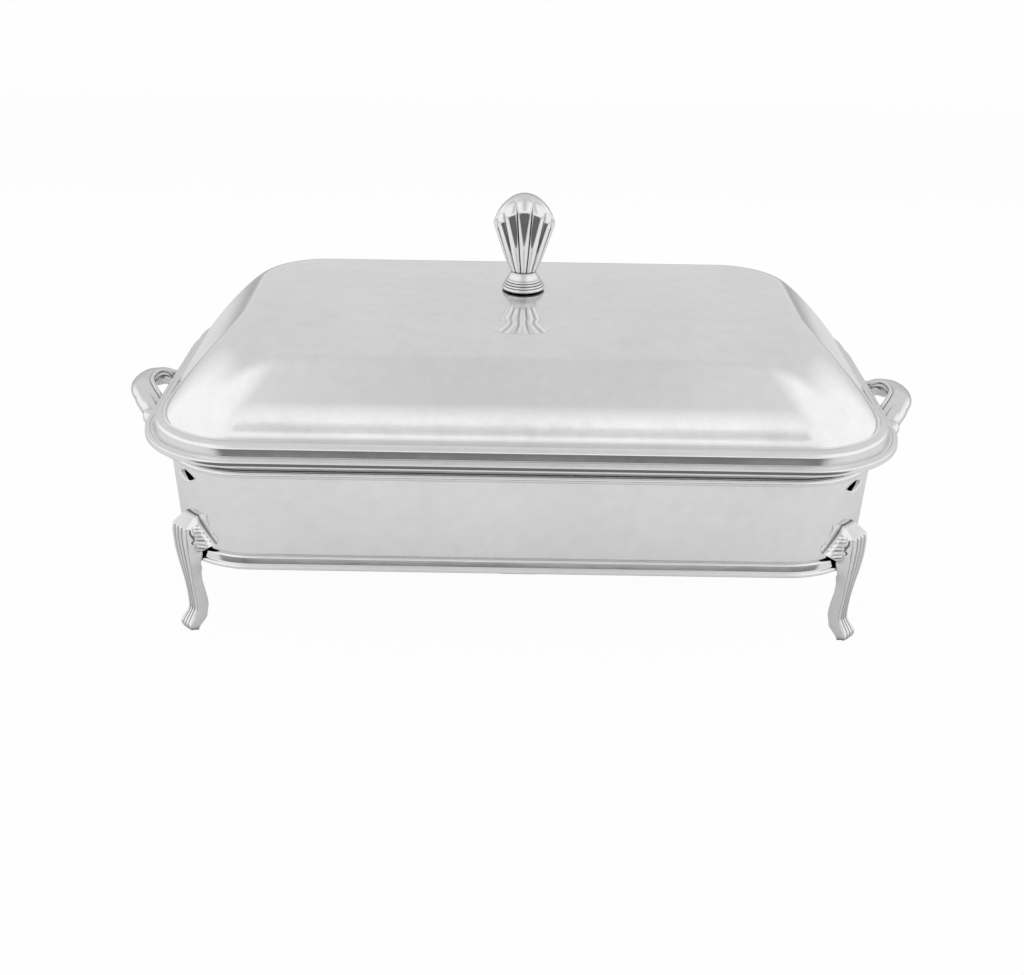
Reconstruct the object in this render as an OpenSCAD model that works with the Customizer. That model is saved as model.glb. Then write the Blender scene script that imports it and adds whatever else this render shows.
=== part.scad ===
// Chafing dish: a rectangular food warmer on four cabriole feet.
// The origin is on the table, under the middle of the dish.
// +X runs along the dish to the right, -Y is the front and +Z is up.

/* [Body] */
// Length of the body over its top edge
body_length = 358; // [346:1:376]
// Depth of the body over its top edge
body_depth = 186; // [178:1:200]
// Plan radius of the body's corners at the top edge
body_corner = 45.2; // [44.6:0.1:46.4]
// Height of the body's lower edge above the table
leg_height = 40.5; // [40:0.5:50]
// Height of the plain body wall, from its floor to its top edge
wall_height = 44; // [42:0.5:56]
// How far the wall leans in from its top edge to its floor
wall_lean = 2; // [1.6:0.1:2.4]
// Sheet thickness of the body
sheet = 1.2; // [1:0.1:1.4]
// Height of the band and lip below the wall
moulding_height = 7; // [6.8:0.1:8]
// Height of the bead round the top edge
bead_height = 3.7; // [3.2:0.1:4.2]

/* [Lid] */
// Length of the lid over its lip
lid_length = 380; // [378:1:384]
// Depth of the lid over its lip
lid_depth = 207.4; // [205:0.2:212]
// Plan radius of the lid's corners
lid_corner = 51.6; // [49:0.2:54]
// Gap between the body's bead and the underside of the lid's lip
lip_gap = 6.2; // [5.2:0.1:7]
// Rise of the stepped rim from its underside to the foot of the dome
rim_rise = 11; // [9:0.1:12]
// Width of the stepped rim
rim_width = 9.8; // [9:0.1:11]
// Rise of the dome's side from its foot to its shoulder
dome_rise = 44; // [36:0.5:52]
// Rise of the crown from the shoulder to the middle
crown_rise = 2.4; // [1:0.1:5]
// Distance from the dome's foot to its shoulder at the ends
end_slope = 42.8; // [36:0.2:56]
// Distance from the dome's foot to its shoulder at the front and back
side_slope = 49.6; // [42:0.2:56]

/* [Knob] */
// Width of the shell-shaped knob
knob_width = 32.5; // [28:0.5:36]
// Thickness of the knob from front to back
knob_depth = 18; // [16:1:22]
// Height of the knob above its collar
knob_height = 40; // [36:1:46]
// Height of the ringed collar under the knob
collar_height = 10; // [9:0.5:13]

/* [Handles] */
// Reach of each handle beyond the end of the body
handle_reach = 32.5; // [31:0.5:38]
// Spacing of the two arms of a handle
handle_spread = 60; // [54:1:70]
// Rise of the handle from its arms to its tip
handle_lift = 22; // [18:1:24]

/* [Burners] */
// Distance between the two burners
burner_pitch = 150; // [130:2:170]
// Outside diameter of a burner cup
burner_diameter = 56; // [50:1:60]
// Height of a burner cup
burner_height = 20; // [18:0.5:22]
// Height of the tray's underside above the table
tray_clearance = 13.4; // [12:0.1:13.8]

/* [Hidden] */
$fn = 48;

slack = 0.05;                       // running clearance on a radius
silver = "#dcdcdc";
steel = "#b9bcc0";
brass = "#c9a84c";

// Heights, from the table up
floor_z = leg_height + moulding_height;
wall_top = floor_z + wall_height;
bead_top = wall_top + bead_height;
pan_sheet = 1;
water_rim = bead_top + pan_sheet;
food_rim = water_rim + pan_sheet;
lip_z = bead_top + lip_gap;
dome_z = lip_z + rim_rise;
apex_z = dome_z + dome_rise + crown_rise;
neck_z = apex_z + collar_height;

// Half sizes in plan
bx = body_length / 2;
by = body_depth / 2;
lx = lid_length / 2;
ly = lid_depth / 2;
corner_x = bx - body_corner;
corner_y = by - body_corner;
moulding_lip = 1.6;                 // the lip's edge, out from the top edge

// How far the wall's outer face stands in from the top edge at a height
function lean_at(z) = wall_lean * (wall_top - z) / wall_height;
function bezier(a, b, c, d, t) =
    pow(1 - t, 3) * a + 3 * pow(1 - t, 2) * t * b + 3 * (1 - t) * t * t * c + pow(t, 3) * d;
function arc(cx, cy, r, from, to, steps) =
    [for (i = [0:steps]) let (a = from + (to - from) * i / steps) [cx + r * cos(a), cy + r * sin(a)]];

// Smooth value through [place, value] pairs, eased between neighbours
function eased(pairs, at, i = 0) =
    at <= pairs[0][0] ? pairs[0][1]
    : i >= len(pairs) - 1 ? pairs[len(pairs) - 1][1]
    : at > pairs[i + 1][0] ? eased(pairs, at, i + 1)
    : let (t = (at - pairs[i][0]) / (pairs[i + 1][0] - pairs[i][0]))
      pairs[i][1] + (pairs[i + 1][1] - pairs[i][1]) * t * t * (3 - 2 * t);

// ---- Shapes that repeat ----

// A filled rectangle with round corners
module rounded(half_x, half_y, radius) {
    square([2 * half_x, 2 * (half_y - radius)], center = true);
    square([2 * (half_x - radius), 2 * half_y], center = true);
    for (sx = [-1, 1], sy = [-1, 1])
        translate([sx * (half_x - radius), sy * (half_y - radius)]) circle(r = radius);
}

// Sweeps a flat section round a rounded rectangle. The section's x is the
// distance outside the rectangle, and its y is the height.
module swept_ring(half_x, half_y, radius) {
    for (turn = [0:3]) {
        end = turn % 2 == 0;
        rotate([0, 0, 90 * turn]) translate([end ? half_x : half_y, 0, 0]) rotate([90, 0, 0])
            linear_extrude(height = 2 * ((end ? half_y : half_x) - radius), center = true)
                children();
    }
    for (turn = [0:3]) {
        sx = turn == 0 || turn == 3 ? 1 : -1;
        sy = turn < 2 ? 1 : -1;
        translate([sx * (half_x - radius), sy * (half_y - radius), 0]) rotate([0, 0, 90 * turn])
            rotate_extrude(angle = 90) translate([radius, 0]) children();
    }
}

module body_ring() swept_ring(bx, by, body_corner) children();
module lid_ring() swept_ring(lx, ly, lid_corner) children();

// A closed skin over a stack of rings, each with the same number of points.
// Flat ends are closed with one face each.
module skin(rings) {
    n = len(rings[0]);
    last = (len(rings) - 1) * n;
    sides = [
        for (i = [0:len(rings) - 2], j = [0:n - 1])
            let (k = (j + 1) % n, a = i * n, b = a + n)
            each [[a + j, b + j, b + k], [a + j, b + k, a + k]]
    ];
    ends = [[for (j = [0:n - 1]) j], [for (j = [n - 1:-1:0]) last + j]];
    polyhedron([for (ring = rings) each ring], concat(sides, ends), convexity = 6);
}

// Puts a part made for the front left corner at one of the four corners
module at_corner(sx, sy) mirror([sx > 0 ? 1 : 0, 0, 0]) mirror([0, sy > 0 ? 1 : 0, 0]) children();

// ---- Body ----

vent_length = 14;
vent_height = 4.4;
vent_drop = 5.5;                     // from the wall's top edge to the vent
window_radius = burner_diameter / 2 + 7;
foot_screw_z = floor_z + 9.5;
handle_z = wall_top - 10;
screw_radius = 2;

// Frame with +X pointing out of the front left corner along its diagonal
module out_of_corner(z) translate([-corner_x, -corner_y, z]) rotate([0, 0, 225]) children();

module corner_vent() {
    out_of_corner(wall_top - vent_drop) rotate([0, 90, 0]) {
        for (side = [-1, 1])
            translate([0, side * (vent_length - vent_height) / 2, 30]) cylinder(d = vent_height, h = 40);
        translate([-vent_height / 2, -(vent_length - vent_height) / 2, 30])
            cube([vent_height, vent_length - vent_height, 40]);
    }
}

module body_shell() {
    color(silver) difference() {
        union() {
            body_ring() polygon([
                [-wall_lean - sheet, floor_z], [-wall_lean, floor_z],
                [0, wall_top], [-sheet, wall_top]
            ]);
            translate([0, 0, floor_z]) linear_extrude(height = sheet)
                rounded(bx - wall_lean - sheet / 2, by - wall_lean - sheet / 2,
                        body_corner - wall_lean - sheet / 2);
        }
        for (side = [-1, 1]) {
            translate([side * burner_pitch / 2, 0, floor_z - 1])
                cylinder(r = window_radius, h = sheet + 2);
            for (end = [-1, 1])
                translate([side * (bx + 5), end * handle_spread / 2, handle_z]) rotate([0, -90 * side, 0])
                    cylinder(r = screw_radius + 0.2, h = 20);
            for (end = [-1, 0, 1])
                translate([side * rail_x, end * rail_rivet_pitch, floor_z - 1])
                    cylinder(r = rivet_radius + slack, h = sheet + 2);
        }
        for (sx = [-1, 1], sy = [-1, 1]) at_corner(sx, sy) {
            corner_vent();
            out_of_corner(foot_screw_z) rotate([0, 90, 0]) translate([0, 0, 30])
                cylinder(r = screw_radius + 0.2, h = 20);
        }
    }
}

module top_bead() {
    bead_reach = 0.75;
    color(silver) body_ring() union() {
        translate([-sheet, wall_top]) square([sheet + bead_reach, bead_height]);
        translate([bead_reach, wall_top + bead_height / 2]) circle(d = bead_height);
    }
}

module base_moulding() {
    band = -wall_lean + 0.4;
    lip = moulding_lip;
    lip_top = leg_height + 3.4;
    color(silver) body_ring() polygon(concat(
        [[-wall_lean - sheet, floor_z], [-wall_lean - sheet, leg_height], [lip - 1, leg_height]],
        arc(lip - 1, leg_height + 1, 1, -60, 0, 3),
        arc(lip - 1.2, lip_top - 1.2, 1.2, 0, 80, 4),
        [[band, lip_top + 0.2], [band, floor_z]]
    ));
}

// ---- Handles ----

handle_steps = 36;
handle_sides = 16;
arm_half = 10.5;
tip_half = 6.5;
band_half = 4.2;
arm_level = 0.12;                   // share of the reach over which an arm stays level
band_slope = 0.16;                  // how far the band falls towards its outer edge

// Section of the handle's loop at an angle from -90 at one arm to 90 at the
// other. The arms start level for their screws, rise quickly, then lie almost level.
function handle_ring(turn) =
    let (
        out = cos(turn),
        rise = max(0, (out - arm_level) / (1 - arm_level)),
        half = arm_half + (tip_half - arm_half) * pow(out, 0.8),
        middle = [(handle_reach - tip_half) * pow(out, 0.75), handle_spread / 2 * sin(turn)],
        lobes = 0.7 * abs(sin(4 * turn)) * out,
        z = handle_z + handle_lift * (1 - pow(1 - rise, 2))
    )
    [for (j = [0:handle_sides - 1])
        let (
            a = 360 * j / handle_sides,
            wide = (half + (cos(a) > 0 ? lobes : 0)) * cos(a),
            up = z + band_half * sin(a) - band_slope * wide,
            foot = bx - lean_at(min(up, wall_top)) + slack
        )
        [foot + middle[0] + wide * out, middle[1] + wide * sin(turn), up]];

module right_handle_solid() {
    difference() {
        skin([for (i = [0:handle_steps]) handle_ring(-90 + 180 * i / handle_steps)]);
        for (end = [-1, 1])
            translate([bx - 6, end * handle_spread / 2, handle_z]) rotate([0, 90, 0])
                cylinder(r = screw_radius + slack, h = 11);
    }
}

module right_handle() color(silver) right_handle_solid();
module left_handle() color(silver) mirror([1, 0, 0]) right_handle_solid();

// A pan-head screw lying along +X, its head's seat at x = 0
module pan_screw(length) rotate([0, 90, 0]) {
    cylinder(r = screw_radius, h = length);
    translate([0, 0, -2]) cylinder(r = 3.6, h = 2);
}

module handle_screws() {
    seat = bx - lean_at(handle_z) - sheet - 0.4;
    color(steel) for (side = [0, 1], end = [-1, 1])
        mirror([side, 0, 0]) translate([seat, end * handle_spread / 2, handle_z]) pan_screw(5.8);
}

// ---- Feet ----

crest_z = floor_z + 17;             // top of the knee, against the wall
cap_z = crest_z - 5;                // outer edge of the knee's sloping cap
blunt_z = crest_z - 2.5;            // where the knee's wings become blunt
knee_z = floor_z + 3.5;             // where the knee is widest
notch_z = floor_z - 1;              // where the wings meet the leg
knee_half = 15;
notch_half = 9.5;
crest_half = 4.8;
band_steps = 20;                    // steps across the fluted face
side_steps = 4;
back_steps = 8;
flutes = 4;
flute_depth = 0.7;
side_bow = 0.2;                     // how far the sides of a foot bulge

corner_lip = body_corner + moulding_lip;

function between(low, high, from, to, z) = from + (to - from) * (z - low) / (high - low);

// Distance of the foot's fluted face from the middle of the corner's curve
function foot_front(z) = corner_lip + (z > cap_z
    ? between(cap_z, crest_z, 6.4, -1.2, z)
    : eased([[0, 6.6], [2.8, 7.6], [12, 2.6], [crest_z - 9, 6.7], [cap_z, 6.4]], z));

// Distance of its inner face, clear of the moulding and close to the wall
function foot_back(z) = z > floor_z + 3
    ? body_corner - lean_at(z) + 0.12
    : corner_lip + eased([
        [0, 2.8], [7, -2.6], [13, -3.8], [31, -1.5], [leg_height - 5.5, -1.5], [leg_height - 1, 0.15]
    ], z);

// Distance of the edge where its sides meet the inner face. It stands clear
// of the wall above the moulding, so the knee has a thick edge.
function foot_edge(z) = z > floor_z + 3
    ? corner_lip + eased([[floor_z + 3, 0.6], [floor_z + 6, -0.6], [crest_z, -1.6]], z)
    : foot_back(z) + eased([[31, 0.3], [leg_height, 0.45]], z);

// Half width of the fluted face
function foot_band(z) = eased([
    [0, 4.2], [2.8, 4.6], [10, 3.7], [22, 3.6], [floor_z, 6], [cap_z, 6], [crest_z, 4.6]
], z);

// Half width of the foot where it meets the body
function foot_half(z) =
    z <= notch_z ? max(foot_band(z) + 0.4, eased([[31, 5], [notch_z, notch_half]], z))
    : z <= knee_z ? between(notch_z, knee_z, notch_half, knee_half, z)
    : z <= blunt_z ? between(knee_z, blunt_z, knee_half, 6, z)
    : between(blunt_z, crest_z, 6, crest_half, z);

// One level section of a foot, in a frame whose +X points out of the corner:
// a side, the fluted face, the other side, and the inner face
function foot_ring(z) =
    let (
        half = foot_half(z), band = foot_band(z), front = foot_front(z), back = foot_back(z),
        flute = z > cap_z ? between(cap_z, crest_z, flute_depth, 0, z) : flute_depth,
        edge = sqrt(pow(foot_edge(z), 2) - half * half),
        shoulder = sqrt(pow(front, 2) - band * band)
    )
    concat(
        [for (i = [0:side_steps - 1])
            let (t = i / side_steps)
            [edge + (shoulder - edge) * t, (half - band) * t - half - side_bow * sin(180 * t), z]],
        [for (i = [0:band_steps])
            let (s = -1 + 2 * i / band_steps, y = band * s)
            [sqrt(pow(front, 2) - y * y) - flute * pow(cos(90 * flutes * (s + 1)), 2), y, z]],
        [for (i = [side_steps - 1:-1:0])
            let (t = i / side_steps)
            [edge + (shoulder - edge) * t, half - (half - band) * t + side_bow * sin(180 * t), z]],
        [for (i = [back_steps:-1:0])
            let (y = half * (-1 + 2 * i / back_steps))
            [sqrt(pow(back, 2) - y * y), y, z]]
    );

foot_levels = concat(
    [0, 1.4, 2.8, 5, 7.5, 10], [for (i = [0:6]) between(0, 6, 13, leg_height - 5.5, i)],
    [leg_height - 3, leg_height - 1, leg_height + 2, notch_z, floor_z + 1, floor_z + 3, floor_z + 3.25],
    [knee_z, floor_z + 6, crest_z - 9, cap_z, blunt_z, crest_z]
);

module foot() {
    color(silver) difference() {
        out_of_corner(0) skin([for (z = foot_levels) foot_ring(z)]);
        out_of_corner(foot_screw_z) rotate([0, 90, 0]) translate([0, 0, body_corner - 6])
            cylinder(r = screw_radius + slack, h = 8.4);
    }
}

module front_left_foot() at_corner(-1, -1) foot();
module front_right_foot() at_corner(1, -1) foot();
module rear_left_foot() at_corner(-1, 1) foot();
module rear_right_foot() at_corner(1, 1) foot();

module foot_screws() {
    seat = body_corner - lean_at(foot_screw_z) - sheet - 0.45;
    color(steel) for (sx = [-1, 1], sy = [-1, 1]) at_corner(sx, sy)
        out_of_corner(foot_screw_z) translate([seat, 0, 0]) pan_screw(5.6);
}

// ---- Burner tray and its rails ----

tray_half = burner_pitch / 2 + 60;
tray_depth = 76;
tray_sheet = 1.2;
rail_length = 86;
rail_sheet = 1.2;
rail_ledge = 8;
rail_flange = 14;
rail_x = tray_half + 1 + rail_sheet + rail_flange / 2;
rail_rivet_pitch = 32;
rivet_radius = 1.6;
tray_z = tray_clearance + slack;

// Rail under the body: a flange riveted to the floor, a web and a ledge
// that carries one edge of the tray. A tab behind stops the tray.
module right_rail_solid() {
    web = tray_half + 1;
    ledge_z = tray_clearance - rail_sheet;
    difference() {
        union() {
            rotate([90, 0, 0]) linear_extrude(height = rail_length, center = true) polygon([
                [web - rail_ledge, ledge_z], [web + rail_sheet, ledge_z],
                [web + rail_sheet, floor_z - rail_sheet], [web + rail_sheet + rail_flange, floor_z - rail_sheet],
                [web + rail_sheet + rail_flange, floor_z], [web, floor_z],
                [web, tray_clearance], [web - rail_ledge, tray_clearance]
            ]);
            translate([web - rail_ledge, rail_length / 2 - rail_sheet, ledge_z])
                cube([rail_ledge + rail_sheet, rail_sheet, 7]);
        }
        for (end = [-1, 0, 1])
            translate([rail_x, end * rail_rivet_pitch, floor_z - rail_sheet - 1])
                cylinder(r = rivet_radius + slack, h = rail_sheet + 2);
    }
}

module right_tray_rail() color(steel) right_rail_solid();
module left_tray_rail() color(steel) mirror([1, 0, 0]) right_rail_solid();

module rail_rivets() {
    color(steel) for (side = [-1, 1], end = [-1, 0, 1])
        translate([side * rail_x, end * rail_rivet_pitch, 0]) {
            translate([0, 0, floor_z - rail_sheet]) cylinder(r = rivet_radius, h = rail_sheet + sheet);
            translate([0, 0, floor_z - rail_sheet - 1.2]) cylinder(r = 3, h = 1.2);
            translate([0, 0, floor_z + sheet]) cylinder(r = 2.6, h = 0.9);
        }
}

// Shallow tray with turned-up front and back edges, a ring to hold each
// burner, and a pull at the front
module burner_tray() {
    edge = 6;
    ring_outer = burner_diameter / 2 + 2;
    color(steel) difference() {
        union() {
            translate([-tray_half, -tray_depth / 2, tray_z]) cube([2 * tray_half, tray_depth, tray_sheet]);
            for (end = [-1, 1])
                translate([-tray_half, end * (tray_depth - tray_sheet) / 2 - tray_sheet / 2, tray_z])
                    cube([2 * tray_half, tray_sheet, edge]);
            for (side = [-1, 1])
                translate([side * burner_pitch / 2, 0, tray_z]) cylinder(r = ring_outer, h = tray_sheet + 2);
            translate([0, -tray_depth / 2, tray_z]) linear_extrude(height = tray_sheet) {
                translate([-14, -4]) square([28, 4]);
                for (side = [-1, 1]) translate([side * 9, -4]) circle(r = 5);
                translate([-9, -9]) square([18, 5]);
            }
        }
        for (side = [-1, 1])
            translate([side * burner_pitch / 2, 0, tray_z + tray_sheet])
                cylinder(r = burner_diameter / 2 + 0.3, h = 10);
        translate([0, -tray_depth / 2 - 4.6, tray_z - 1]) cylinder(r = 2.4, h = 5);
    }
}

// ---- Burners ----

cup_z = tray_z + tray_sheet;
cup_top = cup_z + burner_height;
cup_sheet = 1;
throat_radius = 17;
wick_height = 1.2;
snuffer_sheet = 1.4;
pivot_radius = 1.5;
pivot_y = 22;                       // pivot, behind the middle of the cup

// A low fuel cup with a throat in its cover and a post for the snuffer
module burner_cup(side) {
    half = burner_diameter / 2;
    color(brass) translate([side * burner_pitch / 2, 0, cup_z]) {
        difference() {
            union() {
                difference() {
                    cylinder(r = half, h = burner_height);
                    translate([0, 0, cup_sheet])
                        cylinder(r = half - cup_sheet, h = burner_height - 2 * cup_sheet);
                }
                translate([0, pivot_y, burner_height - 5]) cylinder(r = 3.6, h = 5);
            }
            translate([0, 0, cup_sheet]) cylinder(r = throat_radius, h = burner_height);
            translate([0, pivot_y, burner_height - 4.6]) cylinder(r = pivot_radius, h = 6);
        }
    }
}

module left_burner_cup() burner_cup(-1);
module right_burner_cup() burner_cup(1);

// Fibre pad that fills the cup up to its throat
module burner_wick(side) {
    translate([side * burner_pitch / 2, 0, cup_z + cup_sheet])
        color("#e8e2d2") cylinder(r = throat_radius - 0.4, h = burner_height - cup_sheet + wick_height - 0.6);
}

module left_burner_wick() burner_wick(-1);
module right_burner_wick() burner_wick(1);

// Flat snuffer that swings over the throat on its pivot
module snuffer(side) {
    plate_z = cup_top + wick_height + 0.2;
    color(brass) translate([side * burner_pitch / 2, 0, 0]) difference() {
        union() {
            translate([0, 0, plate_z]) cylinder(r = throat_radius + 1.5, h = snuffer_sheet);
            translate([-4, 0, plate_z]) cube([8, pivot_y, snuffer_sheet]);
            translate([0, pivot_y, cup_top + slack])
                cylinder(r = 4, h = plate_z + snuffer_sheet - cup_top - slack);
            translate([-3, -throat_radius - 8, plate_z]) cube([6, 10, snuffer_sheet]);
        }
        translate([0, pivot_y, cup_top - 1]) cylinder(r = pivot_radius + slack, h = 8);
    }
}

module left_snuffer() snuffer(-1);
module right_snuffer() snuffer(1);

// Shouldered pin: pressed into the post, free in the snuffer
module snuffer_pivot(side) {
    pin_top = cup_top + wick_height + 0.2 + snuffer_sheet;
    color(steel) translate([side * burner_pitch / 2, pivot_y, 0]) {
        translate([0, 0, cup_top - 4.4]) cylinder(r = pivot_radius, h = pin_top + slack - cup_top + 4.4);
        translate([0, 0, pin_top + slack]) cylinder(r = 3, h = 1);
    }
}

module left_snuffer_pivot() snuffer_pivot(-1);
module right_snuffer_pivot() snuffer_pivot(1);

// ---- Pans ----

// An open pan hung by its flange. Offsets are from the body's top edge.
module hung_pan(rim_z, flange_out, wall_in, base_in, base_z) {
    t = pan_sheet;
    body_ring() polygon([
        [flange_out, rim_z], [flange_out, rim_z - t], [wall_in, rim_z - t], [base_in, base_z],
        [base_in - t, base_z], [wall_in - t, rim_z - t], [wall_in - t, rim_z]
    ]);
    translate([0, 0, base_z]) linear_extrude(height = t)
        rounded(bx + base_in - t / 2, by + base_in - t / 2, body_corner + base_in - t / 2);
}

water_wall = -3;
food_wall = -6.2;

module water_pan() color(steel) hung_pan(water_rim, -0.2, water_wall, -9, floor_z + 9);
module food_pan() color(steel) hung_pan(food_rim, -1, food_wall, -12.5, floor_z + 17);

// ---- Lid ----

dome_corner = lid_corner - rim_width;
shoulder_corner = 30.6;
corner_steps = 9;
slope_steps = 12;
crown_steps = 6;

// Points round a rounded rectangle at one height
function plan_ring(half_x, half_y, radius, z) = [
    for (quarter = [0:3], i = [0:corner_steps])
        let (
            a = 90 * quarter + 90 * i / corner_steps,
            sx = quarter == 0 || quarter == 3 ? 1 : -1,
            sy = quarter < 2 ? 1 : -1
        )
        [sx * (half_x - radius) + radius * cos(a), sy * (half_y - radius) + radius * sin(a), z]
];

// Level of the dome's side, t from 0 at the foot to 1 at the shoulder
function slope_ring(t, inner) = plan_ring(
    lx - rim_width - inner - end_slope * bezier(0, 0.04, 0.88, 1, t),
    ly - rim_width - inner - side_slope * bezier(0, 0.06, 0, 1, t),
    dome_corner - inner + (shoulder_corner - dome_corner) * pow(t, 1.1),
    dome_z - (t == 0 ? 0 : inner) + dome_rise * bezier(0, 0.14, 1, 1, t)
);

// Level of the crown, s from 1 at the shoulder towards 0 in the middle
function crown_ring(s, inner) = plan_ring(
    (lx - rim_width - inner - end_slope) * s, (ly - rim_width - inner - side_slope) * s,
    (shoulder_corner - inner) * s, dome_z + dome_rise - inner + crown_rise * (1 - s * s)
);

module lid_dome() {
    outer = concat(
        [for (i = [1:crown_steps]) crown_ring(0.04 + 0.96 * (i - 1) / crown_steps, 0)],
        [for (i = [slope_steps:-1:0]) slope_ring(i / slope_steps, 0)]
    );
    inner = concat(
        [for (i = [0:slope_steps]) slope_ring(i / slope_steps, sheet)],
        [for (i = [crown_steps:-1:1]) crown_ring(0.04 + 0.96 * (i - 1) / crown_steps, sheet)]
    );
    color(silver) difference() {
        skin(concat(outer, inner));
        translate([0, 0, apex_z - 5]) cylinder(r = stud_radius + 0.2, h = 8);
    }
}

// Rolled and stepped border: a lip, a ledge and a quarter-round riser
module lid_rim() {
    step = 4.6;
    ledge_z = lip_z + 3.9;
    rise = dome_z - ledge_z;
    run = rim_width - step;
    t = 1.4;
    color(silver) lid_ring() polygon(concat(
        [[-t, lip_z], [-0.3, lip_z], [0, lip_z + 0.4], [0, lip_z + 2.7], [-0.5, lip_z + 3.3], [-step, ledge_z]],
        [for (i = [0:6]) let (a = 15 * i) [-step - run + run * cos(a), ledge_z + rise * sin(a)]],
        [[-rim_width - t, dome_z], [-rim_width - t, dome_z - t]],
        [for (i = [5:-1:0]) let (a = 15 * i)
            [-step - run + (run - t) * cos(a), ledge_z - t + rise * sin(a)]],
        [[-t, lip_z + 2.1]]
    ));
}

// Formed ring inside the lid: it closes the lip, stands on the food pan's
// flange and dips into the pan to keep the lid in place
module lid_bezel() {
    web_z = lip_z + 0.4;
    t = 1;
    leg = -3;
    skirt = -8.2;
    color(silver) {
        translate([0, 0, web_z]) linear_extrude(height = t) difference() {
            rounded(lx - 1.4, ly - 1.4, lid_corner - 1.4);
            rounded(bx + leg - t, by + leg - t, body_corner + leg - t);
        }
        body_ring() polygon([
            [leg, web_z + t], [leg - t, web_z + t], [leg - t, food_rim + t], [skirt - t, food_rim + t],
            [skirt - t, food_rim - 6], [skirt, food_rim - 6], [skirt, food_rim], [leg, food_rim]
        ]);
    }
}

// ---- Knob ----

stud_radius = 3;
neck_half = 7.5;
collar_half = 11.2;
fan_steps = 56;
fan_rise = 15;                      // from the knob's widest points to its tip
fan_angle = atan((knob_width / 2 - neck_half) / (knob_height - fan_rise));
fan_origin = neck_half / tan(fan_angle);
fan_side = norm([knob_width / 2, knob_height - fan_rise + fan_origin]);
fan_tip = knob_height + fan_origin;
knob_flutes = 7;

// Length of the fan's ray at an angle from the middle, with a scalloped end
function fan_reach(a) =
    let (s = a / fan_angle)
    fan_side + (fan_tip - fan_side) * cos(90 * s)
    - 0.7 * pow(cos(knob_flutes * acos(max(-1, min(1, s)))), 2) * cos(60 * s);

// Ring of the shell-shaped knob, out along its rays from 0 at the neck
function fan_ring(out) = [
    for (j = [0:fan_steps - 1])
        let (
            turn = 360 * j / fan_steps,
            a = fan_angle * cos(turn),
            neck = fan_origin / cos(a),
            ray = neck + (fan_reach(a) - neck) * out,
            flute = 1 - 0.1 * pow(cos(knob_flutes * turn), 2),
            half = eased([[0, 6.6], [0.55, knob_depth / 2], [0.85, knob_depth / 2 * 0.86], [1, 3.2]], out)
        )
        [ray * sin(a), half * flute * sin(turn), neck_z - fan_origin + ray * cos(a)]
];

// The knob is closed over its top by faces from its front to its back
module fan_solid() {
    outs = [0, 0.12, 0.26, 0.4, 0.54, 0.68, 0.8, 0.9, 0.96, 1];
    n = fan_steps;
    last = (len(outs) - 1) * n;
    sides = [
        for (i = [0:len(outs) - 2], j = [0:n - 1])
            let (k = (j + 1) % n, a = i * n, b = a + n)
            each [[a + j, b + j, b + k], [a + j, b + k, a + k]]
    ];
    top = [
        for (j = [0:n / 2 - 1])
            let (p = last + j, q = p + 1, r = last + (n - j - 1), s = last + (n - j) % n)
            each (j == 0 ? [[r, q, p]] : j == n / 2 - 1 ? [[s, q, p]] : [[r, q, p], [s, r, p]])
    ];
    polyhedron(
        [for (out = outs) each fan_ring(out)],
        concat(sides, top, [[for (j = [0:n - 1]) j]]), convexity = 6
    );
}

module knob() {
    color(silver) difference() {
        fan_solid();
        translate([0, 0, neck_z - 1]) cylinder(r = stud_radius + slack, h = 12);
    }
}

module knob_collar() {
    h = collar_height;
    ring_r = 0.95;
    waist = 7.2;
    color(silver) difference() {
        union() {
            translate([0, 0, apex_z]) cylinder(r1 = collar_half - 0.8, r2 = waist, h = h);
            for (i = [0:3])
                translate([0, 0, apex_z + ring_r + i * 0.19 * h]) rotate_extrude()
                    translate([collar_half - ring_r - 0.98 * i, 0]) circle(r = ring_r);
            translate([0, 0, apex_z + h - 1.4]) cylinder(r = neck_half, h = 1.4);
        }
        translate([0, 0, apex_z - 1]) cylinder(r = stud_radius + slack, h = h + 2);
    }
}

washer_z = apex_z - sheet - 1.4;
nut_height = 5;

module knob_stud() {
    bottom = washer_z - nut_height - 2;
    color(steel) translate([0, 0, bottom]) cylinder(r = stud_radius, h = neck_z + 10.5 - bottom);
}

module knob_washer() {
    color(steel) translate([0, 0, washer_z]) difference() {
        cylinder(r = 8, h = 1.2);
        translate([0, 0, -1]) cylinder(r = stud_radius + 0.2, h = 4);
    }
}

module knob_nut() {
    color(steel) translate([0, 0, washer_z - nut_height]) difference() {
        cylinder(d = 11.5, h = nut_height, $fn = 6);
        translate([0, 0, -1]) cylinder(r = stud_radius + slack, h = nut_height + 2);
    }
}

body_shell();
top_bead();
base_moulding();
left_handle();
right_handle();
handle_screws();
front_left_foot();
front_right_foot();
rear_left_foot();
rear_right_foot();
foot_screws();
left_tray_rail();
right_tray_rail();
rail_rivets();
burner_tray();
left_burner_cup();
right_burner_cup();
left_burner_wick();
right_burner_wick();
left_snuffer();
right_snuffer();
left_snuffer_pivot();
right_snuffer_pivot();
water_pan();
food_pan();
lid_dome();
lid_rim();
lid_bezel();
knob();
knob_collar();
knob_stud();
knob_washer();
knob_nut();
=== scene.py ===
"""Looks of a rectangular silver-plated chafing dish, built round its CAD frame."""

import math

import bmesh
import bpy
from mathutils import Matrix, Vector


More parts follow.
